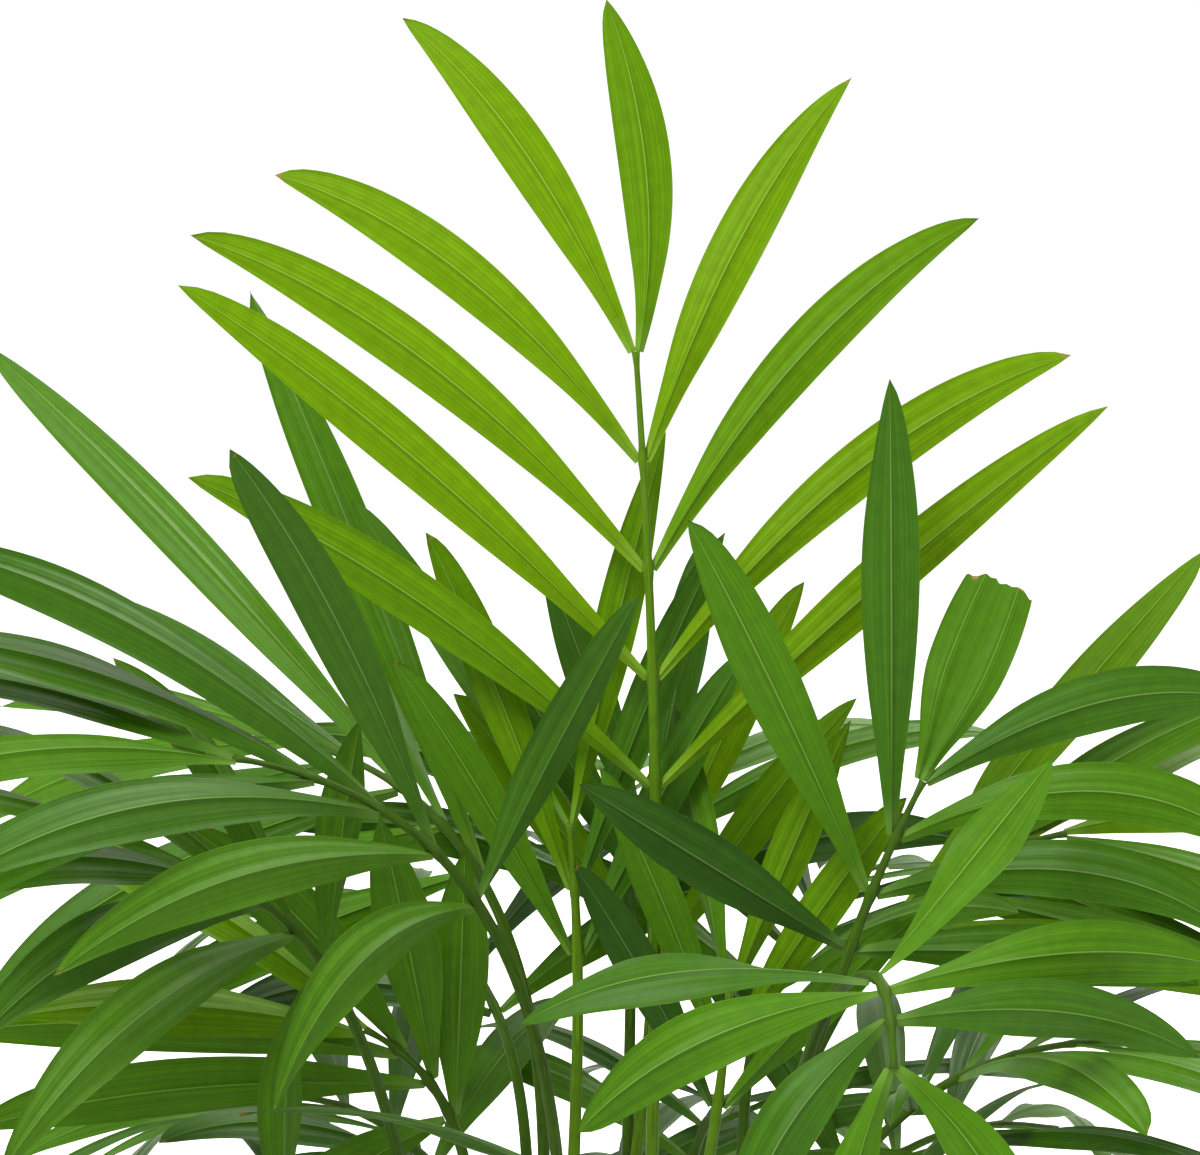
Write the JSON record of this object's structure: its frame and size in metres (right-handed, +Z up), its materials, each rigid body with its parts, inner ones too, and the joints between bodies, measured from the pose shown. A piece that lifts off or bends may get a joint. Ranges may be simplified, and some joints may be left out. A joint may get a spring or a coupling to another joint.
{
  "type": "potted parlor palm",
  "caption": "Potted parlor palm: a clump of slender stems with arching pinnate fronds in a round tapered clay pot, to stand on a table or floor.",
  "frame": {"origin": "middle of the pot's flat underside", "axes": "+Z up, +Y away from the viewer of the picture, +X to that viewer's right"},
  "size_m": [0.4042, 0.3877, 0.5428],
  "materials": {
    "clay": "matt fired clay",
    "earth": "crumbly potting soil",
    "stem_green": "smooth green stem",
    "leaf_green": "satin leaf"
  },
  "bodies": {
    "root": {"frond_back": "leaf_green", "frond_back_left": "leaf_green", "frond_back_left_low": "leaf_green", "frond_back_low": "leaf_green", "frond_back_lowest": "leaf_green", "frond_back_right": "leaf_green", "frond_back_right_low": "leaf_green", "frond_front_left": "leaf_green", "frond_front_left_low": "leaf_green", "frond_front_low": "leaf_green", "frond_front_right": "leaf_green", "frond_front_right_low": "leaf_green", "frond_left": "leaf_green", "frond_left_back": "leaf_green", "frond_left_low": "leaf_green", "frond_left_lowest": "leaf_green", "frond_left_under": "leaf_green", "frond_right": "leaf_green", "frond_right_back": "leaf_green", "frond_right_low": "leaf_green", "frond_top": "leaf_green", "frond_young_back": "leaf_green", "frond_young_left": "leaf_green", "frond_young_right": "leaf_green", "petiole_back": "stem_green", "petiole_back_left": "stem_green", "petiole_back_left_low": "stem_green", "petiole_back_low": "stem_green", "petiole_back_lowest": "stem_green", "petiole_back_right": "stem_green", "petiole_back_right_low": "stem_green", "petiole_front_left": "stem_green", "petiole_front_left_low": "stem_green", "petiole_front_low": "stem_green", "petiole_front_right": "stem_green", "petiole_front_right_low": "stem_green", "petiole_left": "stem_green", "petiole_left_back": "stem_green", "petiole_left_low": "stem_green", "petiole_left_lowest": "stem_green", "petiole_left_under": "stem_green", "petiole_right": "stem_green", "petiole_right_back": "stem_green", "petiole_right_low": "stem_green", "petiole_top": "stem_green", "petiole_young_back": "stem_green", "petiole_young_left": "stem_green", "petiole_young_right": "stem_green", "pot": "clay", "soil": "earth", "stem_1": "stem_green", "stem_2": "stem_green", "stem_3": "stem_green", "stem_4": "stem_green", "stem_5": "stem_green", "stem_6": "stem_green", "stem_7": "stem_green", "stem_8": "stem_green"}
  },
  "joints": []
}
